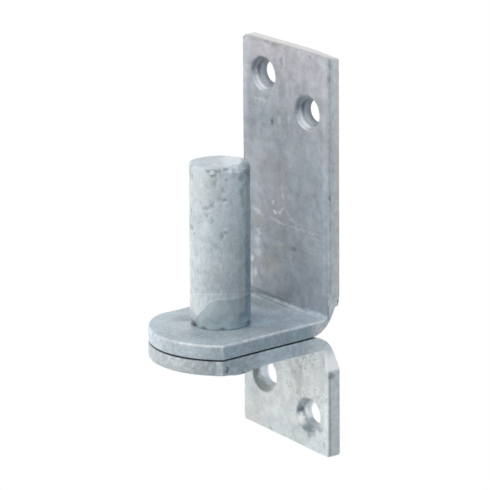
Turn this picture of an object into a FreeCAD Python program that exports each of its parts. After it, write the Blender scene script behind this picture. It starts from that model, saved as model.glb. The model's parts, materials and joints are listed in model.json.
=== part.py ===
"""Gate hinge pin: an upright round pin riveted through the tongues of two folded wall brackets.

Millimetres. The origin is on the pin's axis at the seat, the top face of the upper tongue, where the eye of
a gate hinge rests. +Z runs up the pin, +Y goes back to the wall and +X is to the right, seen from the front.
"""
import FreeCAD, Part
import os
from math import sqrt

from FreeCAD import Vector

# Flat bar that both brackets are folded from
bar_width = 40.0
bar_thickness = 5.0
bend_radius = 1.2       # inside of the fold, pressed in sharply
outer_bend_radius = 12.5    # outside of the fold, where the bar is stretched thin
edge_round = 0.6        # worn and galvanised rims of the bar

# Brackets
pin_standoff = 32.0     # pin axis in front of the brackets' back faces
upper_leg = 88.7        # upright of the upper bracket, from the seam between the tongues to its top edge
lower_leg = 40.5        # upright of the lower bracket, from the seam to its lowest corner
lower_cut_rise = 4.2    # the lower bracket's end is cut askew: its left corner is this much higher
nose_margin = 4.0       # radius of the tongue's round nose, beyond half the bar's width
nose_offset = 2.4       # the nose's centre stands this far to the right of the pin

# Fixing holes, one staggered pair in each upright
fixing_diameter = 9.0
fixing_mouth = 11.0     # flared mouth that punching leaves on the front face
fixing_flare = 2.5      # depth of the flare
fixing_spread = 20.5    # across the bar, from hole to hole
fixing_stagger = 8.5    # the left hole of a pair is this much higher
upper_fixing_inset = 11.1   # highest hole of the upper pair, below the top edge
lower_fixing_inset = 12.1   # lowest hole of the lower pair, above the lowest corner

# Pin
pin_diameter = 19.0
pin_height = 51.1       # above the seat
pin_chamfer = 1.0
spigot_diameter = 14.0  # reduced end that passes through both tongues
spigot_clearance = 0.05     # all round, in the tongues' holes
rivet_diameter = 19.0   # end of the spigot, hammered over below the lower tongue
rivet_rim = 1.2         # height of the hammered head's straight side
rivet_height = 4.2

X_AXIS = Vector(1, 0, 0)
Y_AXIS = Vector(0, 1, 0)
Z_AXIS = Vector(0, 0, 1)
SMOOTH_JOIN = 0.99      # faces whose normals have a larger dot product meet smoothly

half_width = bar_width / 2
back = pin_standoff
front = back - bar_thickness
nose_radius = half_width + nose_margin
spigot_length = 2 * bar_thickness
seam = -bar_thickness


def fold_middle(centre, radius):
    """Halfway point of a fold's quarter arc, which turns from the upright to the tongue."""
    reach = radius / sqrt(2)
    return Vector(centre.x, centre.y + reach, centre.z - reach)


def fold_profile(leg):
    """Closed L section of a folded bar, with its tongue on the seam at Z = 0 and its leg up to Z = leg."""
    reach = -2 * nose_radius
    outer = Vector(-half_width, back - outer_bend_radius, outer_bend_radius)
    inner = Vector(-half_width, front - bend_radius, bar_thickness + bend_radius)
    corners = {
        "top_back": (back, leg),
        "outer_high": (back, outer.z),
        "outer_low": (outer.y, 0),
        "tip_low": (reach, 0),
        "tip_high": (reach, bar_thickness),
        "inner_low": (inner.y, bar_thickness),
        "inner_high": (front, inner.z),
        "top_front": (front, leg),
    }
    at = {name: Vector(-half_width, y, z) for name, (y, z) in corners.items()}
    outer_middle = fold_middle(outer, outer_bend_radius)
    inner_middle = fold_middle(inner, bend_radius)
    edges = [
        Part.LineSegment(at["top_back"], at["outer_high"]),
        Part.Arc(at["outer_high"], outer_middle, at["outer_low"]),
        Part.LineSegment(at["outer_low"], at["tip_low"]),
        Part.LineSegment(at["tip_low"], at["tip_high"]),
        Part.LineSegment(at["tip_high"], at["inner_low"]),
        Part.Arc(at["inner_low"], inner_middle, at["inner_high"]),
        Part.LineSegment(at["inner_high"], at["top_front"]),
        Part.LineSegment(at["top_front"], at["top_back"]),
    ]
    return Part.Wire([edge.toShape() for edge in edges])


def nose_stock(leg):
    """What the nose's outline keeps of a folded bar: a round end, and everything behind its centre."""
    behind = Part.makeBox(bar_width, back, leg, Vector(-half_width, 0, 0))
    round_end = Part.makeCylinder(nose_radius, leg, Vector(nose_offset, 0, 0))
    return behind.fuse(round_end)


def fixing_hole(x, z):
    """Punch through an upright at the given place, with its flared mouth on the front face."""
    before_front = Vector(x, front - bar_thickness, z)
    through = Part.makeCylinder(fixing_diameter / 2, 3 * bar_thickness, before_front, Y_AXIS)
    flare = Part.makeCone(fixing_mouth / 2, fixing_diameter / 2, fixing_flare, Vector(x, front, z), Y_AXIS)
    return through.fuse(flare)


def is_sharp(solid, edge):
    """True where the two faces at an edge meet at a corner, not in a smooth join."""
    middle = edge.valueAt((edge.FirstParameter + edge.LastParameter) / 2)
    normals = []
    for face in solid.ancestorsOfType(edge, Part.Face):
        u, v = face.Surface.parameter(middle)
        normals.append(face.normalAt(u, v))
    return len(normals) == 2 and normals[0].dot(normals[1]) < SMOOTH_JOIN


def is_hole_rim(edge):
    return isinstance(edge.Curve, Part.Circle) and edge.Closed


def round_rims(solid):
    """Round every rim of a bracket, apart from the rims of its holes."""
    rims = [edge for edge in solid.Edges if not is_hole_rim(edge) and is_sharp(solid, edge)]
    return solid.makeFillet(edge_round, rims)


def folded_bracket(leg, holes, end_rise, turned_down):
    """One bracket, made with its seam at Z = 0 and set in place. end_rise is the askew cut of its end."""
    bar = Part.Face(fold_profile(leg)).extrude(X_AXIS * bar_width)
    bracket = bar.common(nose_stock(leg))
    if end_rise > 0:
        bracket = bracket.cut(askew_end(leg, end_rise))
    if turned_down:
        bracket = bracket.mirror(Vector(0, 0, 0), Z_AXIS)
    bracket = round_rims(bracket.removeSplitter())
    bracket = bracket.cut(Part.makeCylinder(
        spigot_diameter / 2 + spigot_clearance, 4 * bar_thickness, Vector(0, 0, -2 * bar_thickness)))
    for x, z in holes:
        bracket = bracket.cut(fixing_hole(x, z))
    bracket.translate(Z_AXIS * seam)
    return bracket


def askew_end(leg, rise):
    """Wedge that the askew cut takes off the end of a leg: nothing at the right side, rise at the left."""
    corners = [
        Vector(-half_width, front - bar_thickness, leg),
        Vector(half_width, front - bar_thickness, leg),
        Vector(-half_width, front - bar_thickness, leg - rise),
    ]
    outline = Part.makePolygon(corners + corners[:1])
    return Part.Face(outline).extrude(Y_AXIS * 3 * bar_thickness)


def upper_bracket():
    high = upper_leg - upper_fixing_inset
    holes = [(-fixing_spread / 2, high), (fixing_spread / 2, high - fixing_stagger)]
    return folded_bracket(upper_leg, holes, 0, turned_down=False)


def lower_bracket():
    low = lower_fixing_inset - lower_leg
    holes = [(fixing_spread / 2, low), (-fixing_spread / 2, low + fixing_stagger)]
    return folded_bracket(lower_leg, holes, lower_cut_rise, turned_down=True)


def hinge_pin():
    """Pin with a chamfered top, a shoulder on the seat, a spigot and a domed hammered head."""
    underside = -spigot_length
    pin_radius = pin_diameter / 2
    spigot_radius = spigot_diameter / 2
    rivet_radius = rivet_diameter / 2
    rim_low = underside - rivet_rim
    crown = underside - rivet_height
    dome_height = rivet_height - rivet_rim
    dome_radius = (rivet_radius ** 2 + dome_height ** 2) / (2 * dome_height)
    halfway = rivet_radius / 2
    dome_middle = crown + dome_radius - sqrt(dome_radius ** 2 - halfway ** 2)
    outline = [
        (0, pin_height),
        (pin_radius - pin_chamfer, pin_height),
        (pin_radius, pin_height - pin_chamfer),
        (pin_radius, 0),
        (spigot_radius, 0),
        (spigot_radius, underside),
        (rivet_radius, underside),
        (rivet_radius, rim_low),
    ]
    points = [Vector(x, 0, z) for x, z in outline]
    edges = [Part.LineSegment(a, b).toShape() for a, b in zip(points, points[1:])]
    dome = Part.Arc(points[-1], Vector(halfway, 0, dome_middle), Vector(0, 0, crown))
    edges.append(dome.toShape())
    edges.append(Part.LineSegment(Vector(0, 0, crown), points[0]).toShape())
    return Part.Face(Part.Wire(edges)).revolve(Vector(0, 0, 0), Z_AXIS, 360)


def main():
    os.makedirs("parts", exist_ok=True)
    pieces = {
        "upper_bracket": upper_bracket(),
        "lower_bracket": lower_bracket(),
        "hinge_pin": hinge_pin(),
    }
    for name, shape in pieces.items():
        solid = shape.Solids[0]
        solid.exportStep(f"parts/{name}.step")
        print(name, "valid", solid.isValid(), "solids", len(shape.Solids), "volume", round(solid.Volume, 1))


main()
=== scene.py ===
"""Looks of the gate hinge pin: two folded galvanised brackets and the lumpy pin riveted through them.

Shapes are worked out in millimetres in the CAD frame and become metres when a mesh is made.
"""

import json
from math import asin, atan2, cos, pi, radians, sin, sqrt, tau

import bpy
import numpy as np
from mathutils import Matrix, Vector, noise
from mathutils.geometry import delaunay_2d_cdt


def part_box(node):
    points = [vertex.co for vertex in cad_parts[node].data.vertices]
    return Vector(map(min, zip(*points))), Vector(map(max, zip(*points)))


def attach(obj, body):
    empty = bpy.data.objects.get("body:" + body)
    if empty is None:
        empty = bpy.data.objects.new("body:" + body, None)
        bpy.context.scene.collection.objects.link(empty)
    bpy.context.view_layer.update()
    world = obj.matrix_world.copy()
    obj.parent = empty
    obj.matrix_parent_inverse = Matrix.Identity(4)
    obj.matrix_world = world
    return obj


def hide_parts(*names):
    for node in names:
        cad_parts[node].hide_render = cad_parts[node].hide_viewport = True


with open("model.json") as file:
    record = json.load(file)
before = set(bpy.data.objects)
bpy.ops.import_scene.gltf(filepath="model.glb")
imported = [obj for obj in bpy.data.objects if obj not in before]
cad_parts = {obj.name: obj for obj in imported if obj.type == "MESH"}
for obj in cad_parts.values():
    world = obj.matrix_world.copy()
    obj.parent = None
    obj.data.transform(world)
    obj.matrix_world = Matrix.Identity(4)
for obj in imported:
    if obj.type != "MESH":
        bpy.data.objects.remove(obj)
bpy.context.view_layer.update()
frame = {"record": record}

MM = 0.001


def box_mm(node):
    low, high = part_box(node)
    return low / MM, high / MM


# Sizes read from the frame
upper_low, upper_high = box_mm("upper_bracket")
lower_low, _ = box_mm("lower_bracket")
pin_low, pin_high = box_mm("hinge_pin")
mounts = {mount["name"]: mount for mount in frame["record"]["mounts"]}

SIDE = upper_high.x  # the bars reach this far to both sides
SEAM = upper_low.z
THICKNESS = -SEAM
BACK = upper_high.y
FRONT = BACK - THICKNESS
TOP = upper_high.z
NOSE_RADIUS = -upper_low.y
UPPER_LEG = TOP - SEAM
LOWER_LEG = SEAM - lower_low.z
PIN_RADIUS = mounts["hinge_pin"]["dims"]["r_mm"]
PIN_TOP = pin_high.z
HOLE_RADIUS = mounts["upper_fixings"]["dims"]["hole_r_mm"]

# Sizes that the frame doesn't state
NOSE_OFFSET = 2.4
INNER_BEND = 1.2
OUTER_BEND = 12.5
LOWER_CUT_RISE = 4.2
HOLE_SPREAD = 20.5
SPIGOT_RADIUS = 7.0
RIVET_RIM = 1.2
FRONT_ROUND = 0.75
BACK_ROUND = 0.65
CORNER_ROUND = 1.0

# How finely the shapes are drawn
GRID = 0.62
GRID_MARGIN = 1.1  # the grid stays this far from a bar's outline
HOLE_MARGIN = 0.4  # and this far from its holes
RIM_STEP = 0.6
ROUND_STEPS = 4
HOLE_STEPS = 72
PIN_STEPS = 180

# Lengths along a bar before it is folded. The fold's sharp inside takes up only the middle of its length
FOLD_START = BACK - OUTER_BEND
FOLD_LENGTH = 16.0
FOLD_END = FOLD_START + FOLD_LENGTH
INSIDE_MARGIN = 7.0
EVEN_TONGUE = 10.0

SUNK = 0.03  # the uneven coats are set back by this much, to stay close to the box of the solids


def hole_centres(mount):
    """The left and right fixing holes of a pair, as (x, Z). The left one is higher."""
    middle = mounts[mount]["pos_m"][2] / MM
    stagger = sqrt(mounts[mount]["dims"]["pcd_mm"] ** 2 - HOLE_SPREAD ** 2)
    return [(side * HOLE_SPREAD / 2, middle - side * stagger / 2) for side in (-1, 1)]


def along_leg(above_seam):
    """Length along the bar of a place on its upright, at a height above the seam."""
    return FOLD_END - OUTER_BEND + above_seam


def hole_places(mount):
    """The left and right fixing holes of a pair, as (x, s)."""
    return [(x, along_leg(abs(z - SEAM))) for x, z in hole_centres(mount)]


def share(value, start, end):
    """0 up to the start and 1 from the end on, in a straight line between."""
    return np.clip((value - start) / (end - start), 0, 1)


# Outline of a flat bar before it is folded: x runs across it and s along its middle, from the nose to its end

def arc(centre, radius, start, end):
    """Points and outward normals along an arc, without its last point."""
    count = max(2, round(abs(end - start) * radius / RIM_STEP))
    angles = start + (end - start) * np.arange(count) / count
    normals = np.column_stack((np.cos(angles), np.sin(angles)))
    return np.asarray(centre) + radius * normals, normals


def line(start, end):
    """Points and outward normals along a straight side, without its last point."""
    start, end = np.asarray(start), np.asarray(end)
    length = np.linalg.norm(end - start)
    count = max(2, round(length / RIM_STEP))
    along = (end - start) / length
    points = start + np.outer(np.arange(count) / count, end - start)
    return points, np.tile((along[1], -along[0]), (count, 1))


def bar_outline(end_left, end_right, corner):
    """Outline of a bar with a round nose, anticlockwise. Its end runs from end_right to end_left."""
    inner_x = SIDE - corner
    slope = atan2(2 * SIDE, end_left - end_right)
    lean, reach = cos(slope), sin(slope)
    top_right = (inner_x, end_right - corner * (1 - lean) / reach)
    top_left = (-inner_x, end_left - corner * (1 + lean) / reach)
    nose_inner = NOSE_RADIUS - corner
    right_reach = inner_x - NOSE_OFFSET
    left_reach = inner_x + NOSE_OFFSET
    nose_right = (inner_x, -sqrt(nose_inner ** 2 - right_reach ** 2))
    nose_left = (-inner_x, -sqrt(nose_inner ** 2 - left_reach ** 2))
    left_turn = pi + atan2(-nose_left[1], left_reach)
    right_turn = tau - atan2(-nose_right[1], right_reach)
    runs = [
        arc((NOSE_OFFSET, 0), NOSE_RADIUS, left_turn, right_turn),
        arc(nose_right, corner, right_turn, tau),
        line((SIDE, nose_right[1]), (SIDE, top_right[1])),
        arc(top_right, corner, 0, slope),
        line((top_right[0] + corner * lean, top_right[1] + corner * reach),
             (top_left[0] + corner * lean, top_left[1] + corner * reach)),
        arc(top_left, corner, slope, pi),
        line((-SIDE, top_left[1]), (-SIDE, nose_left[1])),
        arc(nose_left, corner, pi, left_turn),
    ]
    return tuple(np.concatenate(part) for part in zip(*runs))


def hole_outline(centre, radius):
    """Outline of a round hole, clockwise, with normals that point to its middle."""
    angles = -tau * np.arange(HOLE_STEPS) / HOLE_STEPS
    rays = np.column_stack((np.cos(angles), np.sin(angles)))
    return np.asarray(centre) + radius * rays, -rays


# Rims as (inset, height) pairs from the front face to the back face. An inset goes into the metal

PUNCHED_MOUTH = (
    # inset and depth below the front face: a rolled mouth, a short flare, a raised ring and a plain bore
    (1.9, 0), (1.55, 0.03), (1.25, 0.13), (1.02, 0.32), (0.86, 0.6), (0.62, 1.05), (0.36, 1.5),
    (0.1, 1.8), (0, 2.0), (0.06, 2.2), (0.08, 2.4), (-0.15, 2.8), (-0.5, 3.4), (-0.85, 4.0),
)
PUNCHED_BACK = ((-1.05, 0.4), (-1.02, 0.2), (-0.9, 0.06), (-0.7, 0))
PLAIN_RIM = [(0, THICKNESS), (0, THICKNESS / 2), (0, 0)]
PUNCHED_RIM = [(inset, THICKNESS - depth) for inset, depth in PUNCHED_MOUTH] + list(PUNCHED_BACK)


def rounded(radius):
    """Quarter round from a face, inset by its radius, to the rim, as insets and drops."""
    angles = np.linspace(0, pi / 2, ROUND_STEPS + 1)
    return [(radius * (1 - sin(a)), radius * (1 - cos(a))) for a in angles]


def bar_rim():
    front = [(inset, THICKNESS - drop) for inset, drop in rounded(FRONT_ROUND)]
    back = rounded(BACK_ROUND)[::-1]
    heights = np.linspace(THICKNESS - FRONT_ROUND, BACK_ROUND, 2 * ROUND_STEPS)[1:-1]
    return front + [(0, height) for height in heights] + back


def inside_points(end_left, end_right, holes):
    """Staggered grid of points over a bar's face, clear of its rims."""
    row_step = GRID * sqrt(3) / 2
    points = []
    for row in range(int((NOSE_RADIUS + max(end_left, end_right)) / row_step) + 1):
        s = -NOSE_RADIUS + row * row_step
        for column in range(int(2 * SIDE / GRID) + 1):
            x = -SIDE + (column + 0.5 * (row % 2)) * GRID
            end = end_right + (end_left - end_right) * (SIDE - x) / (2 * SIDE)
            if abs(x) > SIDE - GRID_MARGIN or s > end - GRID_MARGIN:
                continue
            if s < 0 and (x - NOSE_OFFSET) ** 2 + s ** 2 > (NOSE_RADIUS - GRID_MARGIN) ** 2:
                continue
            if any((x - hx) ** 2 + (s - hs) ** 2 < (radius + HOLE_MARGIN) ** 2 for hx, hs, radius in holes):
                continue
            points.append((x, s))
    return np.array(points)


def fill_face(inside, rims, holes):
    """Triangles, anticlockwise, between a face's rims: its outline and then its holes.

    They count through the inside points and then through each rim's points."""
    edges = []
    start = len(inside)
    for rim in rims:
        count = len(rim)
        edges.extend((start + i, start + (i + 1) % count) for i in range(count))
        start += count
    points = np.concatenate([inside, *rims])
    found = delaunay_2d_cdt([Vector(p) for p in points], edges, [], 0, 1e-7)
    origin = [sources[0] for sources in found[3]]
    limits = [(hole[:2], np.hypot(*(rim[0] - hole[:2])) - 0.01) for hole, rim in zip(holes, rims[1:])]
    triangles = []
    for corners in found[2]:
        triangle = [origin[i] for i in corners]
        middle = points[triangle].mean(axis=0)
        if all(np.hypot(*(middle - centre)) > radius for centre, radius in limits):
            triangles.append(triangle)
    return triangles


def bar_mesh(end_left, end_right, fixings):
    """Vertices (x, s, height) and faces of a flat bar with a spigot hole and punched fixing holes."""
    rims = [(bar_outline(end_left, end_right, CORNER_ROUND), bar_rim())]
    rims.append((hole_outline((0, 0), SPIGOT_RADIUS), PLAIN_RIM))
    rims += [(hole_outline(fixing, HOLE_RADIUS), PUNCHED_RIM) for fixing in fixings]
    holes = [(0, 0, SPIGOT_RADIUS)] + [(x, s, HOLE_RADIUS + PUNCHED_RIM[0][0]) for x, s in fixings]
    inside = inside_points(end_left, end_right, holes)

    parts = [np.column_stack((inside, np.full(len(inside), height))) for height in (THICKNESS, 0)]
    total = 2 * len(inside)
    faces = []
    fronts, backs = [], []
    for (points, normals), profile in rims:
        count = len(points)
        for inset, height in profile:
            parts.append(np.column_stack((points - inset * normals, np.full(count, height))))
        for row in range(len(profile) - 1):
            a = total + row * count
            b = a + count
            faces += [(a + i, b + i, b + (i + 1) % count, a + (i + 1) % count) for i in range(count)]
        fronts.append((total, points - profile[0][0] * normals))
        total += len(profile) * count
        backs.append((total - count, points - profile[-1][0] * normals))
    for first, sides, step in ((0, fronts, 1), (len(inside), backs, -1)):
        index = list(range(first, first + len(inside)))
        for start, points in sides:
            index += range(start, start + len(points))
        for triangle in fill_face(inside, [points for _, points in sides], holes):
            faces.append([index[i] for i in triangle][::step])
    return np.concatenate(parts), faces


# Folding and wear

def fold_face(s, radius, wall, level, margin):
    """Y and Z along one face of a folded bar that runs at a level and turns up to a wall."""
    arc_start = FOLD_START + margin
    arc_end = FOLD_END - margin
    far = FOLD_END + 2 * UPPER_LEG
    turn = share(s, arc_start, arc_end) * pi / 2
    tongue = np.interp(s, (-NOSE_RADIUS, EVEN_TONGUE, arc_start), (-NOSE_RADIUS, EVEN_TONGUE, wall - radius))
    leg = np.interp(s, (arc_end, FOLD_END, far), (level + radius, OUTER_BEND, OUTER_BEND + far - FOLD_END))
    y = np.where(s < arc_start, tongue, wall - radius + radius * np.sin(turn))
    z = np.where(s > arc_end, leg, level + radius * (1 - np.cos(turn)))
    return np.column_stack((y, z))


def fold(flat):
    """Place of each (x, s, height) on the folded bar whose tongue lies on the seam at Z = 0."""
    x, s, height = flat.T
    outside = fold_face(s, OUTER_BEND, BACK, 0, 0)
    inside = fold_face(s, INNER_BEND, FRONT, THICKNESS, INSIDE_MARGIN)
    inward = (height / THICKNESS)[:, None]
    return np.column_stack((x, outside * (1 - inward) + inside * inward))


def narrowing(flat, amount, end, ramp):
    """How far a bend's sides draw in, most on its outside. It fades out over a ramp up to an end."""
    _, s, height = flat.T
    grown = share(s, FOLD_START + 4, FOLD_START + 10)
    remaining = share(s, end, end - ramp)
    return amount * grown * remaining * (1 - 0.6 * height / THICKNESS)


def worn_end(flat, end):
    """How far the end of a bar falls short of its outline: most at its back, right corner."""
    x, s, height = flat.T
    near_end = share(s, end - 4, end) ** 2
    back = 1 - height / THICKNESS
    return near_end * (0.15 + 0.95 * share(x, 8, SIDE) * back)


def hanging_corner(placed, height):
    """How far the underside of the lower tongue hangs down near its right corner."""
    x, y, _ = placed.T
    bulge = np.exp(-((x - SIDE) / 8) ** 2 - ((y + 8.5) / 5.5) ** 2)
    return bulge * share(height, 2, THICKNESS)


def new_object(name, vertices, faces):
    """Smooth mesh object made from millimetres."""
    mesh = bpy.data.meshes.new(name)
    mesh.from_pydata((np.asarray(vertices) * MM).tolist(), [], faces)
    mesh.polygons.foreach_set("use_smooth", [True] * len(mesh.polygons))
    mesh.update()
    made = bpy.data.objects.new(name, mesh)
    bpy.context.scene.collection.objects.link(made)
    return made


def move_out(made, vertices, distance):
    """Moves each vertex along its normal, by millimetres."""
    normals = np.zeros(3 * len(vertices))
    made.data.vertex_normals.foreach_get("vector", normals)
    moved = vertices + normals.reshape(-1, 3) * distance[:, None]
    made.data.vertices.foreach_set("co", (moved * MM).ravel())
    made.data.update()


def rough(points, size, octaves, seed):
    """Fractal noise at each point, about -1 to 1. Size is that of its largest lumps."""
    shift = Vector((seed * 17.3, seed * 5.7, seed * 11.1))
    return np.array([noise.fractal(Vector(p) / size + shift, 0.9, 2.0, octaves) for p in points])


def bracket(name, end_left, end_right, fixings, turned_down, narrow, seed):
    """Folded bar with drawn-in sides, a worn or hanging corner and an uneven coat."""
    flat, faces = bar_mesh(end_left, end_right, fixings)
    height = flat[:, 2]
    edge = np.clip(np.abs(flat[:, 0]) / SIDE, 0, 1) ** 4
    shaped = flat.copy()
    shaped[:, 0] -= np.sign(flat[:, 0]) * edge * narrowing(flat, *narrow)
    if not turned_down:
        shaped[:, 1] -= worn_end(flat, end_right)
    placed = fold(shaped)
    if turned_down:
        placed[:, 2] *= -1
        placed[:, 2] -= hanging_corner(placed, height)
        faces = [face[::-1] for face in faces]
    placed[:, 2] += SEAM
    made = new_object(name, placed, faces)
    near_rim = np.clip(1 - (THICKNESS - height) * height / 4, 0, 1) * edge
    # long waves, short ones, and nicks along the rims
    waves = 0.10 * rough(placed, 17, 2, seed) + 0.035 * rough(placed, 3.2, 3, seed + 1)
    waves += 0.06 * near_rim * rough(placed, 1.8, 2, seed + 2)
    move_out(made, placed, waves * share(height, 0, 0.8) - SUNK)
    return made


# Pin

PITS = (
    # angle, Z, half width, half height and depth of the pits on the pin. A lump has a negative depth
    (-63, 50.9, 1.2, 0.5, 0.25), (-44, 51, 1.3, 0.5, 0.28), (-53, 49.6, 1.3, 0.6, 0.28),
    (-53, 51.4, 1, 0.4, 0.25), (-47, 48.6, 0.5, 1.6, 0.16), (-27, 51.6, 1.6, 0.4, 0.3),
    (-28, 48.3, 0.8, 0.6, 0.22), (-49, 46.9, 0.6, 1.1, 0.16), (-33, 44.8, 0.6, 1, 0.14),
    (-32, 41.8, 1.2, 0.6, 0.26), (-32, 40.8, 1.1, 0.7, -0.2), (-66, 39, 1.4, 0.8, 0.2),
    (-56, 39.8, 1.2, 0.5, 0.2), (-53, 40.9, 0.7, 0.6, 0.14), (-66, 36.9, 0.9, 0.7, 0.15),
    (-56, 35.2, 0.7, 1.4, 0.2), (-30, 32.3, 1.6, 0.5, -0.18), (-30, 31.4, 1.6, 0.5, 0.16),
    (-107, 48.1, 0.9, 1.8, 0.3), (-110, 51.2, 0.9, 1, 0.35), (-110, 36.8, 0.8, 2.2, 0.22),
    (-106, 31.6, 0.9, 1.6, 0.25), (-99, 29.9, 0.9, 0.9, 0.2), (5, 48.1, 1.6, 1.6, 0.22),
    (6, 43.6, 1.4, 2, 0.2), (9, 40.3, 1.2, 2.2, 0.16), (22, 50, 2.2, 1.8, 0.25),
    (-36, 30.3, 0.6, 0.9, 0.2), (-37, 50.9, 1.1, 0.5, -0.2), (-27, 50.7, 1.8, 0.5, -0.2),
    (-41, 43, 0.6, 1.2, 0.12), (-53, 50.5, 0.8, 0.7, -0.36), (-121, 48.8, 1.3, 2.6, 0.35),
    (-116, 31.4, 0.9, 1.3, 0.35), (-119, 34.2, 0.7, 1.6, 0.25),
)
FOOT_GAPS = (
    # angle and half width, in degrees, height and darkness of the painted shadow in the gaps left open under
    # the pin's foot
    (-109, 16, 2.2, 0.85), (-75, 5, 0.9, 0.95), (-37, 6, 0.9, 0.95), (33, 17, 1.8, 0.4), (150, 25, 1.5, 0.6),
)
FOOT_UNDERCUT = 1.3
TOP_TILT = 1.0  # the pin's top is sawn a little askew, highest towards its front right
TOP_TILT_TURN = radians(-41)
CHAMFER_DROP = 1.9  # at the top's right rim
CHAMFER_WIDTH = 2.3


def set_in(*steps):
    """(radius, Z) pairs from pairs of an inset from the pin's side and Z."""
    return [(PIN_RADIUS - inset, z) for inset, z in steps]


def pin_profile():
    """(radius, Z) pairs from the middle of the pin's top to the middle of its hammered head."""
    head_top = 2 * SEAM
    rim_low = head_top - RIVET_RIM
    dome = rim_low - pin_low.z
    dome_radius = (PIN_RADIUS ** 2 + dome ** 2) / (2 * dome)
    widest = asin(PIN_RADIUS / dome_radius)
    flat_top = [(r, PIN_TOP) for r in np.linspace(0, PIN_RADIUS - 0.9, 18)]
    shoulder = set_in((0.6, PIN_TOP - 0.04), (0.36, PIN_TOP - 0.12), (0.16, PIN_TOP - 0.28),
                      (0.04, PIN_TOP - 0.5))
    side = [(PIN_RADIUS, z) for z in np.linspace(PIN_TOP - 0.8, 0.9, 150)]
    foot = set_in((0, 0.6), (0, 0.35), (0.04, 0.18), (0.1, 0.07), (0.2, 0))
    spigot = [(SPIGOT_RADIUS, 0), (SPIGOT_RADIUS, head_top)]
    head = set_in((0.4, head_top), (0.1, head_top - 0.1), (0, head_top - 0.4), (0, rim_low))
    crown = [(dome_radius * sin(a), pin_low.z + dome_radius * (1 - cos(a)))
             for a in np.linspace(widest, 0, 16)[1:]]
    return flat_top + shoulder + side + foot + spigot + head + crown


def angle_of(vertices):
    """Angle around the pin, in degrees."""
    return np.degrees(np.arctan2(vertices[:, 1], vertices[:, 0]))


def sawn_top(vertices):
    """How far the pin's top stands above or below a level cut, with a chamfer on its right."""
    x, y, z = vertices.T
    towards_high = (x * cos(TOP_TILT_TURN) + y * sin(TOP_TILT_TURN)) / PIN_RADIUS
    tilt = TOP_TILT * (0.5 + 0.5 * towards_high) * share(z, PIN_TOP - 5, PIN_TOP)
    right = np.exp(-((angle_of(vertices) - 24) / 42) ** 4)
    rim = share(np.hypot(x, y), PIN_RADIUS - CHAMFER_WIDTH, PIN_RADIUS)
    return tilt - CHAMFER_DROP * right * rim * share(z, PIN_TOP - 3, PIN_TOP)


def undercut(vertices):
    """How far the pin's foot draws in over its gaps."""
    z = vertices[:, 2]
    shape = np.zeros(len(vertices))
    for middle, half_width, tall, _ in FOOT_GAPS:
        low = share(z, tall, 0) * (z > 0.01)
        shape += low * np.exp(-((angle_of(vertices) - middle) / half_width) ** 2)
    return FOOT_UNDERCUT * shape


def pitting(vertices):
    """How far the pits and lumps of the pin's side stand out."""
    shape = np.zeros(len(vertices))
    for turn, z, half_width, half_height, depth in PITS:
        across = np.radians(angle_of(vertices) - turn) * PIN_RADIUS / half_width
        apart = np.hypot(across, (vertices[:, 2] - z) / half_height)
        shape -= depth * np.exp(-apart ** 2)
    return shape * (np.hypot(vertices[:, 0], vertices[:, 1]) > PIN_RADIUS - 0.7)


def on_pin(angle, z):
    """Place on the pin's side at an angle in degrees."""
    return PIN_RADIUS * cos(radians(angle)), PIN_RADIUS * sin(radians(angle)), z


def hinge_pin():
    profile = pin_profile()
    angles = tau * np.arange(PIN_STEPS) / PIN_STEPS
    rings = [np.column_stack((r * np.cos(angles), r * np.sin(angles), np.full(PIN_STEPS, z)))
             for r, z in profile[1:-1]]
    vertices = np.concatenate([[(0, 0, profile[0][1])], *rings, [(0, 0, profile[-1][1])]])
    last = len(vertices) - 1
    faces = []
    for i in range(PIN_STEPS):
        j = (i + 1) % PIN_STEPS
        faces.append((0, 1 + i, 1 + j))
        faces.append((last, last - PIN_STEPS + j, last - PIN_STEPS + i))
        for ring in range(len(rings) - 1):
            a = 1 + ring * PIN_STEPS
            b = a + PIN_STEPS
            faces.append((a + i, b + i, b + j, a + j))
    vertices[:, 2] += sawn_top(vertices)
    made = new_object("pin", vertices, faces)
    z = vertices[:, 2]
    lumps = 0.12 * rough(vertices, 9, 3, 5) + (0.015 + 0.05 * share(z, 22, 38)) * rough(vertices, 2.6, 2, 6)
    shown = share(z, 0.2, 1.7)
    move_out(made, vertices, lumps * shown - SUNK + pitting(vertices) - undercut(vertices))
    return made


# Galvanised surface

RAGGED_SCALE = 0.9  # of the wander at the edges of spots
RAGGED_REACH = 2.2
SPOT_REACH = 1.15  # a spot fades out at this many half sizes


def add_node(tree, kind, inputs=None, **settings):
    """Adds a shader node. Its inputs are linked to sockets or set to values."""
    made = tree.nodes.new("ShaderNode" + kind)
    for name, value in settings.items():
        setattr(made, name, value)
    for key, value in (inputs or {}).items():
        if isinstance(value, bpy.types.NodeSocket):
            tree.links.new(value, made.inputs[key])
        else:
            made.inputs[key].default_value = value
    return made


def cleared_tree(owner):
    """Empty node tree of a world or a material."""
    owner.use_nodes = True
    owner.node_tree.nodes.clear()
    return owner.node_tree


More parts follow.
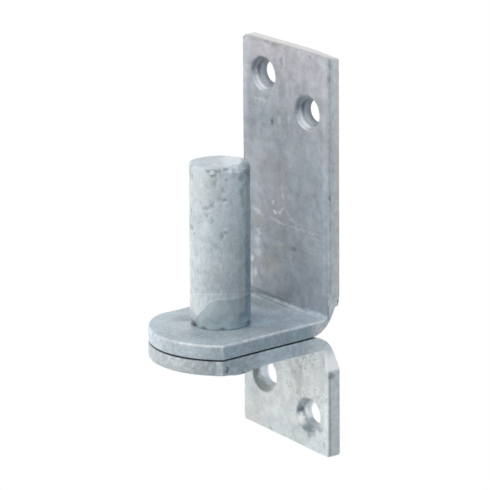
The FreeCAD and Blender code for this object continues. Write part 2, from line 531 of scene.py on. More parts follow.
class Coat:
    """A material whose colour is built up node by node. Places and sizes are in millimetres."""

    def __init__(self, name, seed):
        self.seed = seed
        self.colour = None
        self.material = bpy.data.materials.new(name)
        self.tree = cleared_tree(self.material)
        self.place = self.scaled(self.add("TexCoord").outputs["Object"], 1 / MM)
        self.x, self.y, self.z = self.add("SeparateXYZ", {0: self.place}).outputs
        wander = self.add("TexNoise", {"Vector": self.place, "Scale": RAGGED_SCALE, "Detail": 3.0})
        centred = self.add("VectorMath", {0: wander.outputs["Color"], 1: (0.5,) * 3}, operation="SUBTRACT")
        ragged = self.add("VectorMath", {0: centred.outputs[0], 1: (RAGGED_REACH,) * 3, 2: self.place},
                          operation="MULTIPLY_ADD")
        self.ragged = ragged.outputs[0]

    def add(self, kind, inputs=None, **settings):
        return add_node(self.tree, kind, inputs, **settings)

    def noise(self, size, detail=3.0, roughness=0.5, stretch=(1, 1, 1), distortion=0.0):
        """Fractal noise, about 0.3 to 0.7. Every call gives another pattern."""
        self.seed += 1
        shift = (self.seed * 37.0, self.seed * 11.0, self.seed * 23.0)
        where = self.add("Mapping", {"Vector": self.place, "Location": shift, "Scale": stretch})
        made = self.add("TexNoise", {"Vector": where.outputs[0], "Scale": 1 / size, "Detail": detail,
                                     "Roughness": roughness, "Distortion": distortion})
        return made.outputs["Fac"]

    def crystals(self, size):
        """A random value for each crystal of the coating."""
        made = self.add("TexVoronoi", {"Vector": self.ragged, "Scale": 1 / size})
        return self.add("SeparateColor", {"Color": made.outputs["Color"]}).outputs[0]

    def span(self, value, low, high, to_low=0.0, to_high=1.0):
        """Smooth step of a value from low to high."""
        made = self.add("MapRange", {"Value": value, "From Min": low, "From Max": high,
                                     "To Min": to_low, "To Max": to_high}, interpolation_type="SMOOTHSTEP")
        return made.outputs[0]

    def band(self, value, low, high, soft):
        """1 between low and high, with soft ends."""
        return self.times(self.span(value, low - soft, low), self.span(value, high + soft, high))

    def stripe(self, value, middle, half_width):
        """1 where a value is at the middle, falling to 0 at a half width to both sides."""
        away = self.add("Math", {0: self.sum(value, -middle)}, operation="ABSOLUTE").outputs[0]
        return self.span(away, half_width, 0.2 * half_width)

    def joined(self, operation, values):
        total = values[0]
        for value in values[1:]:
            total = self.add("Math", {0: total, 1: value}, operation=operation).outputs[0]
        return total

    def sum(self, *values):
        return self.joined("ADD", values)

    def times(self, *values):
        return self.joined("MULTIPLY", values)

    def largest(self, *values):
        return self.joined("MAXIMUM", values)

    def scaled(self, vector, factor):
        return self.add("VectorMath", {0: vector, "Scale": factor}, operation="SCALE").outputs[0]

    def mix(self, factor, a, b, blend="MIX"):
        colours = [(*colour, 1) if isinstance(colour, tuple) else colour for colour in (a, b)]
        made = self.add("Mix", {0: factor, 6: colours[0], 7: colours[1]}, data_type="RGBA", blend_type=blend)
        return made.outputs[2]

    def mask(self, *masks, **ranges):
        """Product of masks and strengths, and of smooth steps that are given as ranges along x, y or z."""
        steps = [self.span(getattr(self, axis), *ends) for axis, ends in ranges.items()]
        return self.times(*masks, *steps)

    def paint(self, colour, *masks, **ranges):
        """Lays a colour over the coat, as strongly as a mask says."""
        self.colour = self.mix(self.mask(*masks, **ranges), self.colour, colour)

    def tone(self, factor, *masks, **ranges):
        """Multiplies the coat's colour by a factor, or one for each channel, where a mask is 1."""
        factors = factor if isinstance(factor, tuple) else (factor,) * 3
        self.colour = self.mix(self.mask(*masks, **ranges), self.colour, factors, "MULTIPLY")

    def spot(self, centre, half_sizes, turn=0, axis="Z"):
        """1 inside a ragged ellipsoid that is turned, in degrees, about an axis."""
        turns = [radians(turn) if name == axis else 0.0 for name in "XYZ"]
        reach = [SPOT_REACH * size for size in half_sizes]
        where = self.add("Mapping", {"Vector": self.ragged, "Location": centre, "Rotation": turns,
                                     "Scale": reach}, vector_type="TEXTURE")
        inward = self.add("TexGradient", {"Vector": where.outputs[0]}, gradient_type="SPHERICAL")
        return self.span(inward.outputs["Fac"], 0, 0.7)

    def axis_distance(self, axis_x):
        """Distance from an upright axis through (axis_x, 0)."""
        flat = self.add("CombineXYZ", {0: self.sum(self.x, -axis_x), 1: self.y}).outputs[0]
        return self.add("VectorMath", {0: flat}, operation="LENGTH").outputs["Value"]

    def finish(self, metallic, roughness, height, depth, specular=0.5):
        bump = self.add("Bump", {"Height": height, "Strength": 1.0, "Distance": depth * MM})
        shader = self.add("BsdfPrincipled", {
            "Base Color": self.colour, "Metallic": metallic, "Roughness": roughness,
            "Specular IOR Level": specular, "Normal": bump.outputs[0]})
        self.add("OutputMaterial", {"Surface": shader.outputs[0]})
        return self.material


def galvanised(name, seed, cool, warm, contrast):
    """Coat with clouds, patches, mottling, runs, grain and crystals, with its height and its mottling."""
    coat = Coat(name, seed)
    clouds = coat.noise(22, 4, 0.55)
    patches = coat.noise(7, 5, 0.6, distortion=0.8)
    mottling = coat.noise(2.2, 5, 0.65)
    runs = coat.noise(3.0, 3, 0.55, stretch=(1, 1, 0.12))
    grain = coat.noise(0.55, 2, 0.6)
    layers = (
        # pattern, its low and high values and how far it changes the tone
        (patches, 0.3, 0.7, 0.08), (mottling, 0.28, 0.72, 0.08), (runs, 0.3, 0.7, 0.03),
        (grain, 0.25, 0.75, 0.045), (coat.crystals(2.4), 0, 1, 0.02),
    )
    shades = [coat.span(pattern, low, high, -reach * contrast, reach * contrast)
              for pattern, low, high, reach in layers]
    colour = coat.mix(coat.span(clouds, 0.36, 0.64), cool, warm)
    coat.colour = coat.scaled(colour, coat.sum(1, *shades))
    height = coat.sum(patches, coat.times(mottling, 0.5), coat.times(grain, 0.12))
    return coat, height, mottling


DIRT = (0.24, 0.235, 0.20)
BROWN = (0.36, 0.35, 0.31)
DARK = (0.10, 0.115, 0.13)
PALE = (0.74, 0.79, 0.85)
OLIVE = (0.34, 0.38, 0.36)
LILAC = (0.34, 0.35, 0.43)
WHITE = (0.90, 0.91, 0.90)
# painted highlight: laid where rims, corners, lumps and hole walls catch the light
PAINTED_HIGHLIGHT = (0.84, 0.90, 0.97)
SEAM_SHADOW = (0.03, 0.035, 0.04)

MARK_DEPTH = 2.5
UPPER_MARKS = (
    # marks on the upright of the upper bracket: x, z, half width, half height, turn, colour, strength
    (-6, 58.2, 0.8, 1.6, 15, DARK, 0.75), (-1.7, 79, 0.6, 2, 4, DARK, 0.4),
    (11.8, 82.2, 0.6, 1.3, 0, DARK, 0.45), (17, 81.6, 3, 1.4, 12, PALE, 0.35),
    (-14, 83.3, 6, 0.7, -1, OLIVE, 0.5), (-4.5, 83.4, 3.6, 0.9, 0, DIRT, 0.5),
    (0.8, 83, 2.4, 0.9, 8, OLIVE, 0.5), (-9, 83.4, 1.4, 0.5, 0, DARK, 0.4),
    (6, 80.6, 2.5, 0.8, -30, OLIVE, 0.3), (-19, 82.8, 0.8, 0.8, 0, OLIVE, 0.5),
    (-2.7, 59.4, 0.9, 1.6, 0, PALE, 0.3), (1.9, 60.5, 0.8, 1.8, 0, PALE, 0.3),
    (-11, 64.2, 4, 0.7, 3, PALE, 0.3), (-0.9, 59.5, 2, 5, 0, OLIVE, 0.3),
    (-10.7, 65.8, 2.6, 2, 0, OLIVE, 0.2), (-0.3, 77.8, 0.6, 3, 0, PALE, 0.35),
    (-13, 62, 4, 0.5, 5, DARK, 0.14), (3, 66, 5, 6, 30, PALE, 0.12),
    (6, 52, 5, 4, 0, OLIVE, 0.1), (-2.5, 26.5, 5.4, 0.45, 6, PALE, 0.4),
    (6.4, 26, 4.8, 0.45, 0, PALE, 0.45), (15, 26, 5, 0.45, 1, PALE, 0.4),
    (3.5, 28.1, 2.6, 0.4, 18, PALE, 0.35), (8.5, 27.6, 3.6, 0.4, -2, PALE, 0.35),
    (13.9, 24.5, 4.6, 0.4, -2, PALE, 0.3), (-1, 35.3, 0.5, 3.4, -12, PALE, 0.4),
    (-1.9, 30.4, 2.6, 0.4, -36, PALE, 0.5), (1.6, 29.4, 2.6, 0.4, 50, PALE, 0.4),
    (-5.6, 32.2, 0.9, 0.8, 0, PALE, 0.5), (-4.8, 29.3, 1.1, 0.8, 0, PALE, 0.6),
    (-2.4, 29.6, 1, 0.6, 0, PALE, 0.5), (-13.3, 28.1, 2.6, 1, 20, PALE, 0.4),
    (-13.5, 25.6, 1.4, 1.5, 0, BROWN, 0.65), (-1.1, 22.6, 4, 2.6, 0, DARK, 0.12),
    (0, 18.7, 5.4, 0.9, -6, BROWN, 0.45), (4, 19.2, 1.6, 0.9, -20, DARK, 0.4),
    (-7, 12, 5, 5, 0, BROWN, 0.25), (-13.2, 18.5, 1.6, 2, 0, PALE, 0.4),
    (-12.9, 14.6, 1.8, 1.6, 0, PALE, 0.35), (-15.5, 12, 1, 1.4, 0, PALE, 0.6),
    (-14.3, 7.9, 1, 1.8, 0, PALE, 0.5), (-12.6, 21.4, 1.2, 1.4, 0, PALE, 0.35),
    (11.6, 39.8, 2.4, 1.8, 0, PALE, 0.18), (-9.5, 46, 6, 5, 0, LILAC, 0.15),
    (10, 50, 5, 8, 0, OLIVE, 0.08), (-9, 36, 5, 8, 0, LILAC, 0.1),
    (-16, 6.5, 0.9, 4, 0, PALE, 0.35), (9, 15, 3, 1, 40, DARK, 0.12),
    (15, 7, 2.2, 5, 0, PALE, 0.2),
)
LOWER_MARKS = (
    # marks on the upright of the lower bracket, in the same order
    (5.3, -17, 1.6, 1.6, 0, OLIVE, 0.5), (3.6, -20.6, 1.4, 1.6, 0, OLIVE, 0.5),
    (7, -18.3, 0.8, 1.2, 0, DIRT, 0.45), (6, -21.5, 2.6, 3.2, 0, OLIVE, 0.42),
    (6.2, -24.2, 1.8, 1.4, 0, OLIVE, 0.35), (5.7, -26.9, 1.4, 1.4, 0, BROWN, 0.4),
    (12.3, -12.9, 1.6, 0.6, 10, DIRT, 0.5), (8.1, -15, 1.8, 0.7, 10, OLIVE, 0.45),
    (2, -18, 1.2, 2, 0, OLIVE, 0.3), (9.6, -37.6, 1.9, 1.3, 0, OLIVE, 0.6),
    (15.6, -36.9, 1.8, 1.4, 15, LILAC, 0.75), (10.9, -40.1, 1.3, 1.9, -15, DARK, 0.5),
    (11.8, -38.9, 2.8, 1.5, 0, OLIVE, 0.6), (18, -41.7, 0.6, 1.6, -10, OLIVE, 0.5),
    (-7.1, -41.4, 0.8, 0.8, 0, DIRT, 0.4), (-16, -30.5, 1, 1, 0, OLIVE, 0.35),
    (0, -28, 2, 3, 0, WHITE, 0.35), (18, -15, 1, 1.4, 0, DARK, 0.4),
    (13, -42, 3, 1.2, 25, WHITE, 0.35), (4, -36, 3, 2, 0, WHITE, 0.3),
    (-4, -20, 2.4, 3, 0, OLIVE, 0.2),
)
SIDE_MARKS = (
    # dark marks on the right side of the upper upright: depth, z, half width, half height, strength
    (0.2, 6.5, 0.6, 0.8, 0.5), (2.7, 6.8, 1, 0.6, 0.35), (4.5, 4.7, 0.9, 0.9, 0.6),
    (0.9, 38.7, 0.5, 1.4, 0.5), (2.3, 48, 0.8, 2.2, 0.2), (3.2, 21, 0.7, 3, 0.2),
)
TONGUE_LIGHT_AND_SHADE = (
    # painted light and shade on the upper tongue: middle, half sizes, turn, factor
    ((-12, 23.3, 0.2), (16, 6.8, 2.4), 0, 0.62), ((8, 9, 0), (6, 6, 1.2), 0, 1.42),
    ((-10, -5, 0), (5, 6, 1.2), 0, 0.66), ((9, -11, 0), (8, 6, 1.2), 30, 0.84),
)
FOLD_LINES = (
    # painted highlight and shade lines along the upper fold: middle, lean, half width, left end, right end,
    # colour, strength
    (1.27, 0.08, 0.7, -30, 13, DARK, 0.35), (0.3, 0.09, 0.5, 2, 19, PALE, 0.5),
    (0.3, 0.09, 0.6, -30, 4, DARK, 0.2), (-0.75, 0.1, 0.85, -30, 6, DARK, 0.5),
)
NOSE_CHIPS = (
    # dark chips and a notch in the rim of the lower tongue: x, y, z, half width, half height, strength
    (20, -14.75, -8, 0.9, 1.8, 0.8), (12.4, -20.6, -9.7, 0.9, 0.5, 0.6), (7.5, -22.8, -9.7, 0.6, 0.4, 0.5),
    (19.8, -8, -10.6, 1.6, 0.5, 0.6), (19.8, -3.5, -10, 1, 0.5, 0.5),
)

# Tints of painted light and shade on the walls of the holes: angle around the hole, half width, depth, half
# depth, colour, strength
BOTH_UPPER_TINTS = (
    (190, 4.4, 3.8, 1.7, PALE, 0.6), (180, 3.4, 2.3, 0.5, DARK, 0.35),
    (232, 4.6, 1.4, 2.6, PAINTED_HIGHLIGHT, 0.95), (200, 2.6, 0.9, 0.9, PALE, 0.4),
)
UPPER_TINTS = (
    ((105, 5, 1, 2.6, DARK, 0.3),) + BOTH_UPPER_TINTS,
    BOTH_UPPER_TINTS + ((100, 4, 2, 2.4, PALE, 0.45),),
)
LOWER_TINTS = (
    ((178, 5, 0.7, 1.6, OLIVE, 0.95), (165, 2.6, 0.9, 1.2, DARK, 0.4), (245, 4, 1, 2, OLIVE, 0.8),
     (185, 5.4, 3.8, 1.9, PAINTED_HIGHLIGHT, 1)),
    ((172, 2.4, 0.9, 1.6, LILAC, 0.9), (172, 1.4, 1.6, 1.2, DARK, 0.6), (125, 2.6, 1.6, 2, LILAC, 0.6),
     (175, 4.4, 3.8, 1.6, PAINTED_HIGHLIGHT, 0.85), (213, 2.6, 0.9, 1.9, WHITE, 0.95), (255, 2.4, 1.2, 2, OLIVE, 0.5)),
)
UPPER_RINGS = (0.9, 2.8)  # depths of the rings that the punch left in the upper holes


def mark_front(coat, marks):
    """Paints marks around the front face of an upright."""
    for x, z, half_width, half_height, turn, paint, strength in marks:
        mask = coat.spot((x, FRONT, z), (half_width, MARK_DEPTH, half_height), turn, "Y")
        coat.paint(paint, mask, strength)


def tint_holes(coat, mount, hole_tints, rings):
    """Paints light and shade as tints on the walls of a pair of holes, and rings on them. The painted
    highlights are given back as a mask.
    """
    bright = 0.0
    behind_front = coat.span(coat.y, FRONT + 0.1, FRONT + 0.45)
    in_hole = coat.times(behind_front, coat.span(coat.y, BACK, BACK - 0.4))
    for (middle_x, middle_z), tints in zip(hole_centres(mount), hole_tints):
        for angle, half_width, depth, half_depth, paint, strength in tints:
            x = middle_x + HOLE_RADIUS * cos(radians(angle))
            z = middle_z + HOLE_RADIUS * sin(radians(angle))
            mask = coat.spot((x, FRONT + depth, z), (half_width, half_depth, half_width))
            tint = coat.times(mask, in_hole, strength)
            coat.paint(paint, tint)
            if paint in (WHITE, PAINTED_HIGHLIGHT):
                bright = coat.largest(bright, tint)
        whole = coat.spot((middle_x, FRONT + 2, middle_z), (12, 6, 12))
        for depth in rings:
            coat.tone(0.86, coat.stripe(coat.y, FRONT + depth, 0.4), whole, in_hole)
    return bright


def add_grain(coat, pattern, levels, mask, dark, light):
    """Darkens where a pattern is high and lightens where it is low, under a mask."""
    low, middle, high = levels
    coat.tone(dark, coat.span(pattern, middle, high), mask)
    coat.tone(light, coat.span(pattern, middle, low), mask)


def shade_seam(coat):
    """Dirt and shadow that fill the gap between the two tongues."""
    coat.paint(SEAM_SHADOW, coat.stripe(coat.z, SEAM, 0.5), 0.95)


# Upper bracket's coat

def upper_sides(coat):
    """Masks of the right side, which is drawn in around the fold, and of its upright part."""
    square = coat.span(coat.x, SIDE - 0.6, SIDE - 0.1)
    below_tongue = coat.mask(z=(-0.5, -1.0), y=(14, 20))
    behind_leg = coat.mask(y=(FRONT + 0.4, FRONT + 1), z=(6, 4))
    drawn_in = coat.mask(coat.largest(below_tongue, behind_leg), x=(SIDE - 1.8, SIDE - 1.2))
    side = coat.largest(square, drawn_in)
    return side, coat.mask(side, y=(18, 24))


def upper_rim_highlights(coat, broken):
    """Masks of the painted highlights along the tongue's upper rims: round the nose, and broken along the
    right side.
    """
    height = coat.stripe(coat.z, -0.2, 0.9)
    reach = coat.mask(coat.axis_distance(NOSE_OFFSET), y=(0.5, -0.5))
    nose = coat.span(reach, NOSE_RADIUS - 0.8, NOSE_RADIUS - 0.3)
    edge = coat.span(coat.x, SIDE - 1.0, SIDE - 0.6)
    front_rim_highlight = coat.mask(nose, height, x=(4, 10, 0.3, 1.0))
    return front_rim_highlight, coat.mask(edge, height, broken, y=(FRONT + 1, FRONT - 2))


def paint_tongue_light_and_shade(coat, tongue):
    """Evens out the tongue, and paints light and shade on it towards the fold, round the nose and around the
    pin's foot.
    """
    coat.paint((0.46, 0.548, 0.608), tongue, 0.4)
    coat.tone(1.06, tongue)
    coat.tone(1.26, coat.band(coat.z, -0.5, 0.7, 0.6), y=(8, 18))
    for centre, half_sizes, turn, factor in TONGUE_LIGHT_AND_SHADE:
        coat.tone(factor, coat.spot(centre, half_sizes, turn))
    coat.tone(1.12, x=(4, 14), y=(-4, -10))
    coat.tone(1.18, x=(2, -12), y=(2, -6))
    coat.tone(1.24, x=(8, -4), y=(2, -6), z=(-0.3, -0.9))


def paint_upright_light_and_shade(coat, upright):
    """Darkens the upright, and paints light and shade on it: painted light makes it palest at its top and
    pale along its borders, right of its middle and below its middle, and painted shade darkens it left of its
    middle and at its lower left.
    """
    coat.tone((0.74, 0.69, 0.70), upright, 0.9)
    coat.tone(1.19, upright, z=(60, 46))
    coat.tone((1.36, 1.28, 1.27), z=(60, TOP + 0.3))
    coat.tone(0.86, upright, x=(4, -2), z=(62, 50))
    coat.tone(1.18, x=(4 - SIDE, 1.2 - SIDE), z=(30, 60))
    coat.tone((1.17, 1.16, 1.15), upright, x=(6, 13), z=(74, 56, 0.2, 1.0))
    coat.tone(1.1, coat.stripe(coat.x, SIDE - 1.6, 1.5), upright)
    coat.tone(0.9, upright, x=(-4, -12), z=(40, 28))


def draw_fold_lines(coat):
    """Painted light and shade for the lap that the press left along the inside of the fold, which is not
    modelled: a painted highlight for its ridge between two lines of painted shade for its grooves.
    """
    wobble = coat.span(coat.noise(3.0, 2), 0.2, 0.8, -0.35, 0.35)
    across = coat.sum(coat.y, coat.z, wobble, -FRONT)
    inward = coat.span(coat.x, SIDE - 1.5, SIDE - 3.5)
    for middle, lean, half_width, left, right, paint, strength in FOLD_LINES:
        leaning = coat.sum(across, coat.times(coat.x, lean))
        ends = coat.times(coat.span(coat.x, left, left + 5), coat.span(coat.x, right, right - 5))
        coat.paint(paint, coat.stripe(leaning, middle, half_width), ends, inward, strength)


def paint_upper_side(coat, side, leg_side, mottling, patchy):
    """Two bands along the upright's side, a broken dark line of painted shade beside its front edge, and dark
    marks.
    """
    bands = coat.mix(coat.span(coat.y, FRONT + 1.8, FRONT + 2.8), (0.62, 0.67, 0.715), (0.71, 0.72, 0.735))
    bands = coat.mix(coat.span(coat.z, 8, 3), bands, (0.71, 0.75, 0.775))
    shade = coat.mask(coat.span(mottling, 0.3, 0.7, 0.88, 1.12), z=(50, 75, 1.0, 1.14))
    coat.paint(coat.scaled(bands, shade), leg_side)
    strength = coat.times(coat.span(coat.z, 74, 78, 0.26, 0.5), coat.span(coat.z, 4, 9))
    coat.paint(DARK, coat.stripe(coat.y, FRONT + 0.7, 0.9), side, patchy, strength)
    for depth, z, half_width, half_height, mark_strength in SIDE_MARKS:
        mask = coat.spot((SIDE, FRONT + depth, z), (2, half_width, half_height))
        coat.paint(DARK, mask, leg_side, mark_strength)


def paint_upper_top(coat, mottling):
    """Near-white top face: pale zinc under a painted highlight of the light from above, with an uneven front
    edge.
    """
    uneven = coat.sum(coat.z, coat.span(coat.y, FRONT + 1, BACK), coat.times(mottling, 2))
    top = coat.span(uneven, TOP + 0.25, TOP + 0.7)
    coat.paint((0.97, 0.97, 0.955), top, 0.97, y=(FRONT - 0.2, FRONT + 2.8))


def upper_zinc():
    coat, height, mottling = galvanised("upper_zinc", 1, (0.445, 0.545, 0.61), (0.475, 0.545, 0.60), 1.4)
    broken = coat.span(coat.noise(2.2, 3), 0.4, 0.56, 0.45, 1.0)
    patchy = coat.span(coat.noise(2.0, 3), 0.38, 0.62, 0.3, 1.0)
    upright = coat.span(coat.z, 0.8, 2.4)
    tongue = coat.span(coat.z, 2.4, 0.8)
    side, leg_side = upper_sides(coat)
    paint_tongue_light_and_shade(coat, tongue)
    paint_upright_light_and_shade(coat, upright)
    draw_fold_lines(coat)
    mark_front(coat, UPPER_MARKS)
    shine = tint_holes(coat, "upper_fixings", UPPER_TINTS, UPPER_RINGS)
    paint_upper_side(coat, side, leg_side, mottling, patchy)
    coat.tone((1.48, 1.4, 1.35), side, y=(24, 18))
    front_rim_highlight, right_rim_highlight = upper_rim_highlights(coat, broken)
    # painted highlights along the tongue's upper rims
    coat.paint(PAINTED_HIGHLIGHT, coat.largest(front_rim_highlight, right_rim_highlight), 0.9)
    # painted highlights on the near corners of the nose and of the fold
    nose_corner_highlight = coat.spot((SIDE - 0.4, -16, -2), (1.3, 1.1, 2.4))
    fold_corner_highlight = coat.spot((SIDE - 0.9, FRONT - 2.6, 0.4), (1.1, 2.8, 0.9))
    coat.paint(PAINTED_HIGHLIGHT, coat.largest(nose_corner_highlight, fold_corner_highlight), 0.7)
    paint_upper_top(coat, mottling)
    add_grain(coat, coat.noise(1.3, 4, 0.65), (0.36, 0.48, 0.64), tongue, 0.85, 1.1)
    shade_seam(coat)
    metallic = coat.sum(0.06, coat.times(upright, 0.06), coat.times(leg_side, 0.33),
                        coat.times(shine, 0.25), coat.times(right_rim_highlight, 0.3))
    roughness = coat.sum(coat.span(mottling, 0.3, 0.7, 0.32, 0.4), coat.times(upright, 0.04))
    bumps = coat.times(height, coat.span(upright, 0, 1, 0.15, 1.0))
    return coat.finish(metallic, roughness, bumps, 0.16, 0.25)


# Lower bracket's coat

def speckle_lower(coat):
    """Dense olive speckle, mostly high up and on the right."""
    specks = coat.span(coat.noise(1.0, 3, 0.7), 0.5, 0.62)
    clusters = coat.span(coat.noise(8, 2), 0.4, 0.6, 0.3, 1.0)
    coat.paint(OLIVE, specks, clusters, 0.85, x=(-8, 4), z=(-34, -18, 0.35, 1.0))


def paint_lower_front_light(coat):
    """Paints light on the upright's front: paler to the right, and a painted highlight where the bend meets
    the right border.
    """
    coat.tone(1.2, x=(-15, -2))
    coat.tone(1.08, x=(6, 15))
    coat.tone(1.06, x=(SIDE - 3.5, SIDE - 1.5))
    # painted highlight where the bend meets the right border
    coat.paint((0.82, 0.87, 0.9), 0.6, x=(13, SIDE - 1.5), z=(-25, -16))


def paint_lower_tongue(coat, tongue, near_side, blotches):
    """Bluer tongue, darker round its nose and paler on its right side, with chips in its rim."""
    nose = coat.span(coat.y, 2, -8)
    coat.paint(coat.scaled((0.62, 0.705, 0.76), blotches), tongue, 0.9)
    coat.tone(0.83, tongue, nose)
    coat.tone(0.88, tongue, nose, x=(4, 14))
    coat.tone(1.4, tongue, near_side, y=(18, 8))
    for x, y, z, half_width, half_height, strength in NOSE_CHIPS:
        coat.paint(DARK, coat.spot((x, y, z), (half_width, half_width, half_height)), strength)


def paint_lower_side(coat, leg_side, bend_side, blotches):
    """Side of the bend painted pale as painted light, palest low down, and the upright's side with a dark
    line beside its front edge.
    """
    coat.paint(coat.mix(coat.span(coat.z, -10, -14), (0.64, 0.71, 0.76), (0.84, 0.88, 0.91)), bend_side)
    coat.paint(coat.scaled((0.715, 0.755, 0.775), blotches), leg_side)
    coat.paint(DARK, coat.stripe(coat.y, FRONT + 0.6, 0.7), leg_side, 0.35)
    coat.paint(DARK, coat.spot((SIDE, FRONT + 1.3, -18.8), (1.0, 2.0, 1.3)), leg_side, 0.5)


def lower_zinc():
    coat, height, mottling = galvanised("lower_zinc", 40, (0.635, 0.70, 0.735), (0.68, 0.71, 0.715), 1.1)
    blotches = coat.span(mottling, 0.3, 0.7, 0.86, 1.14)
    tongue = coat.span(coat.z, -11.5, -9)
    near_side = coat.span(coat.x, SIDE - 2.0, SIDE - 1.3)
    leg_side = coat.mask(x=(SIDE - 0.5, SIDE - 0.1), z=(-17, -17.8))
    bend_side = coat.mask(near_side, y=(12, 24), z=(-17.8, -16.8))
    speckle_lower(coat)
    mark_front(coat, LOWER_MARKS)
    # the white and highlight tints in the holes are painted highlights, also made more metallic
    hole_highlights = tint_holes(coat, "lower_fixings", LOWER_TINTS, ())
    paint_lower_front_light(coat)
    paint_lower_tongue(coat, tongue, near_side, blotches)
    paint_lower_side(coat, leg_side, bend_side, blotches)
    add_grain(coat, coat.noise(1.3, 4, 0.65), (0.36, 0.5, 0.64), tongue, 0.88, 1.22)
    shade_seam(coat)
    shine = coat.mask(bend_side, z=(-7, -14, 0.3, 0.62))
    metallic = coat.sum(0.12, coat.times(leg_side, 0.3), shine, coat.times(hole_highlights, 0.75))
    return coat.finish(metallic, coat.span(mottling, 0.3, 0.7, 0.3, 0.46), height, 0.2)


# Pin's coat

PIN_SHADE_TURN = radians(41.3)  # the pin's painted light and shade run from its left to its right, seen from its lit front
REFLECTION_SLOPE = 1.15  # the painted reflection of the tongue at the pin's foot rises to the right, and then levels out
REFLECTION_START = 3.7
REFLECTION_LEVEL = 9.9
REFLECTION_SOFTNESS = 3.0
LINE_SLOPE = (0.206, -0.181)  # of the pale line above that patch, along x and along y
LINE_LEVEL = 9.2


def paint_pits(coat):
    """Dark pits, painted highlights on the lumps and painted shadow in the gaps under the foot."""
    for angle, z, half_width, half_height, depth in PITS:
        mask = coat.spot(on_pin(angle, z), (half_width, half_width, half_height))
        if depth > 0:
            coat.paint(DARK, mask, min(0.55, 1.9 * depth))
        else:
            coat.paint(PAINTED_HIGHLIGHT, mask, min(0.85, -2.6 * depth))
    for angle, half_width, tall, darkness in FOOT_GAPS:
        reach = radians(half_width) * PIN_RADIUS
        coat.paint(DARK, coat.spot(on_pin(angle, 0), (reach, reach, tall)), darkness)


def paint_tongue_reflection(coat):
    """Painted reflection of the tongue: a darker patch at the foot under a pale line. Gives back the height
    above the patch.
    """
    rise = coat.sum(coat.times(coat.x, REFLECTION_SLOPE), REFLECTION_START)
    reflection_edge = coat.add("Math", {0: rise, 1: REFLECTION_LEVEL, 2: REFLECTION_SOFTNESS}, operation="SMOOTH_MIN").outputs[0]
    above = coat.sum(coat.z, coat.times(reflection_edge, -1))
    coat.tone((0.74, 0.80, 0.82), coat.span(above, 0.4, -0.4))
    lean = coat.sum(coat.times(coat.x, LINE_SLOPE[0]), coat.times(coat.y, LINE_SLOPE[1]), LINE_LEVEL)
    below_line = coat.sum(lean, coat.times(coat.z, -1))
    coat.tone(1.07, coat.span(above, -0.2, 0.4), coat.span(below_line, -0.3, 0.3))
    coat.tone(1.1, coat.stripe(below_line, 0, 0.5))
    return above


def paint_pin_top(coat):
    """Chamfer with a painted highlight on its rim, a dark corner behind it and the top face. Gives back the
    chamfer's mask.
    """
    chamfer = coat.spot((8.1, 0.4, PIN_TOP - 0.1), (1.5, 5.2, 1.6), 4)
    coat.paint((0.68, 0.77, 0.84), chamfer, 0.9)
    rim = coat.stripe(coat.axis_distance(0), PIN_RADIUS - 2.0, 0.7)
    coat.paint(PAINTED_HIGHLIGHT, rim, coat.span(chamfer, 0, 0.4))
    coat.paint(DARK, coat.spot(on_pin(42, PIN_TOP - 2.2), (2.0, 4.0, 2.4), 42), 0.45)
    coat.tone((0.95, 0.98, 1.01), z=(PIN_TOP - 0.1, PIN_TOP + 0.3))
    return chamfer


def paint_pin_light_and_shade(coat, across, above):
    """Painted light and shade that run up and down the pin, and around its foot, and streaks low down on it.
    """
    # painted shade and light in bands across the pin, seen from its lit front, and at its foot
    front_shade_band = coat.band(across, -3.5, 2.0, 4)
    coat.tone((0.8, 0.83, 0.85), front_shade_band, coat.span(above, 0, 1), z=(26, 12))
    coat.tone((1.34, 1.32, 1.32), coat.band(across, 2.5, 5.5, 3), z=(28, 42))
    coat.tone(0.84, coat.band(across, 6.2, 8.0, 1.2), coat.band(coat.z, 7, 26, 6))
    coat.tone(1.3, coat.span(across, -3, 3), z=(5, 0.5))
    coat.tone(0.8, coat.spot(on_pin(-112, 1.5), (4, 4, 5)))
    drawn = coat.times(coat.band(coat.z, 8, 26, 6), coat.span(above, 0, 0.6, 0.4, 1.0))
    streaks = coat.noise(0.9, 3, 0.6, stretch=(1, 1, 0.5))
    add_grain(coat, streaks, (0.34, 0.5, 0.66), drawn, 0.88, (1.10, 1.13, 1.14))


def pin_zinc():
    coat, height, mottling = galvanised("pin_zinc", 80, (0.60, 0.69, 0.75), (0.65, 0.71, 0.745), 1.0)
    lumpy = coat.span(coat.z, 20, 34)
    speckle = coat.noise(1.4, 3, 0.6)
    spread = coat.times(lumpy, coat.span(speckle, 0.3, 0.7, -0.06, 0.06))
    coat.colour = coat.scaled(coat.colour, coat.sum(1, spread))
    paint_pits(coat)
    across = coat.sum(coat.times(coat.x, sin(PIN_SHADE_TURN)), coat.times(coat.y, cos(PIN_SHADE_TURN)))
    above = paint_tongue_reflection(coat)
    chamfer = paint_pin_top(coat)
    paint_pin_light_and_shade(coat, across, above)
    roughness = coat.sum(coat.span(lumpy, 0, 1, 0.15, 0.26), coat.span(mottling, 0.3, 0.7, 0, 0.1))
    bumps = coat.times(coat.sum(height, coat.times(speckle, 0.15)), coat.span(lumpy, 0, 1, 0.1, 0.7),
                       coat.span(chamfer, 0, 0.5, 1.0, 0.1))
    return coat.finish(coat.sum(0.15, coat.times(chamfer, 0.6)), roughness, bumps, 0.2)


# Stage

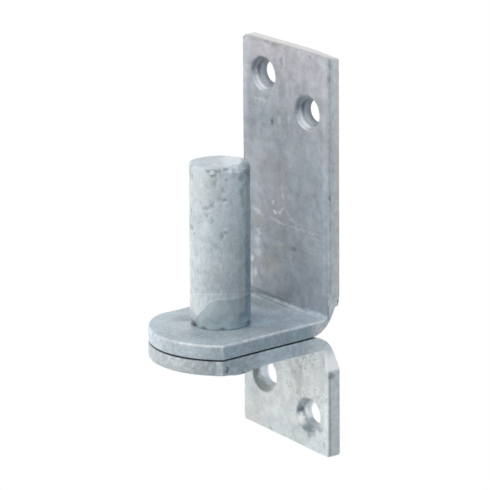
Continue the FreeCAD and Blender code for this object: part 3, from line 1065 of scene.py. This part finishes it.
CAMERA_TURN = radians(48.662)
CAMERA_RISE = radians(16.041)
CAMERA_ROLL = radians(-0.29)
CAMERA_DISTANCE = 3248.0
CAMERA_LENS = 769.2
LOOK_AT = Vector((-2.06, 12.09, 22.04))
LAMP_COLOUR = (1.09, 0.985, 0.90)
FILL_LEVEL = 0.18
FILL_COLOUR = (0.70, 0.99, 1.2, 1)
FLOOR_COLOUR = (0.57, 0.63, 0.66, 1)
FLOOR_DROP = 450  # far enough for the object's shadow to fall outside the picture
FLOOR_REACH = 6000


def away_from(turn, rise):
    """Direction from the object, by an angle around it and one above the horizon."""
    return Vector((cos(turn) * cos(rise), sin(turn) * cos(rise), sin(rise)))


def add_camera():
    back = away_from(CAMERA_TURN - pi / 2, CAMERA_RISE)
    right = Vector((cos(CAMERA_TURN), sin(CAMERA_TURN), 0))
    up = back.cross(right)
    data = bpy.data.cameras.new("camera")
    data.lens = CAMERA_LENS
    data.clip_start = 0.1
    data.clip_end = 50
    camera = bpy.data.objects.new("camera", data)
    bpy.context.scene.collection.objects.link(camera)
    across = cos(CAMERA_ROLL) * right + sin(CAMERA_ROLL) * up
    upward = cos(CAMERA_ROLL) * up - sin(CAMERA_ROLL) * right
    turn = Matrix((across, upward, back)).transposed().to_4x4()
    camera.matrix_world = Matrix.Translation((LOOK_AT + back * CAMERA_DISTANCE) * MM) @ turn
    bpy.context.scene.camera = camera


def add_lamp(name, left, rise, distance, size, level):
    """Square soft lamp that faces the object, from degrees left of the camera and above the horizon.

    Its distance and size are in metres. At level 1 it shows a colour about as written."""
    data = bpy.data.lights.new(name, "AREA")
    data.size = size
    data.energy = level * pi ** 2 * distance ** 2
    data.color = LAMP_COLOUR
    lamp = bpy.data.objects.new(name, data)
    lamp.visible_camera = False
    lamp.visible_glossy = False
    bpy.context.scene.collection.objects.link(lamp)
    away = away_from(CAMERA_TURN - pi / 2 - radians(left), radians(rise))
    lamp.location = LOOK_AT * MM + away * distance
    lamp.rotation_mode = "QUATERNION"
    lamp.rotation_quaternion = (-away).to_track_quat("-Z", "Y")


def add_white_background(tree, lit, plain, output):
    """Shows a plain shader to rays from the camera or by way of a reflection, and a lit one to all others."""
    path = add_node(tree, "LightPath").outputs
    direct = path["Is Camera Ray"]
    for name in ("Is Glossy Ray", "Is Transmission Ray"):
        direct = add_node(tree, "Math", {0: direct, 1: path[name]}, operation="MAXIMUM").outputs[0]
    mix = add_node(tree, "MixShader", {0: direct, 1: lit.outputs[0], 2: plain.outputs[0]})
    add_node(tree, output, {"Surface": mix.outputs[0]})


def add_world():
    world = bpy.data.worlds.new("studio")
    bpy.context.scene.world = world
    tree = cleared_tree(world)
    fill = add_node(tree, "Background", {"Color": FILL_COLOUR, "Strength": FILL_LEVEL})
    plain = add_node(tree, "Background", {"Color": (1, 1, 1, 1), "Strength": 1.0})
    add_white_background(tree, fill, plain, "OutputWorld")


def add_floor():
    """White floor well below the object."""
    level = lower_low.z - FLOOR_DROP
    corners = [(x * FLOOR_REACH, y * FLOOR_REACH, level) for x, y in ((-1, -1), (1, -1), (1, 1), (-1, 1))]
    floor = new_object("floor", corners, [(0, 1, 2, 3)])
    material = bpy.data.materials.new("floor")
    tree = cleared_tree(material)
    matt = add_node(tree, "BsdfDiffuse", {"Color": FLOOR_COLOUR})
    plain = add_node(tree, "Emission", {"Strength": 1.0})
    add_white_background(tree, matt, plain, "OutputMaterial")
    floor.data.materials.append(material)


# Pieces

def add_piece(made, node, material):
    made.data.materials.append(material)
    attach(made, "root")
    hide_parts(node)


def add_pieces():
    upper_end = along_leg(UPPER_LEG)
    lower_end = along_leg(LOWER_LEG)
    upper_narrow = (1.1, FOLD_END - 3.4, 0.5)
    lower_narrow = (1.3, FOLD_END - 0.1, 3.0)
    upper = bracket("upper", upper_end, upper_end, hole_places("upper_fixings"), False, upper_narrow, 1)
    lower = bracket("lower", lower_end - LOWER_CUT_RISE, lower_end, hole_places("lower_fixings"), True,
                    lower_narrow, 2)
    pin = hinge_pin()
    add_piece(upper, "upper_bracket", upper_zinc())
    add_piece(lower, "lower_bracket", lower_zinc())
    add_piece(pin, "hinge_pin", pin_zinc())


add_pieces()
add_camera()
add_lamp("front", left=70, rise=-8, distance=1.0, size=1.1, level=0.69)
add_lamp("high", left=71, rise=60, distance=1.3, size=1.4, level=0.73)
add_world()
add_floor()
bpy.context.scene.view_settings.view_transform = "Standard"
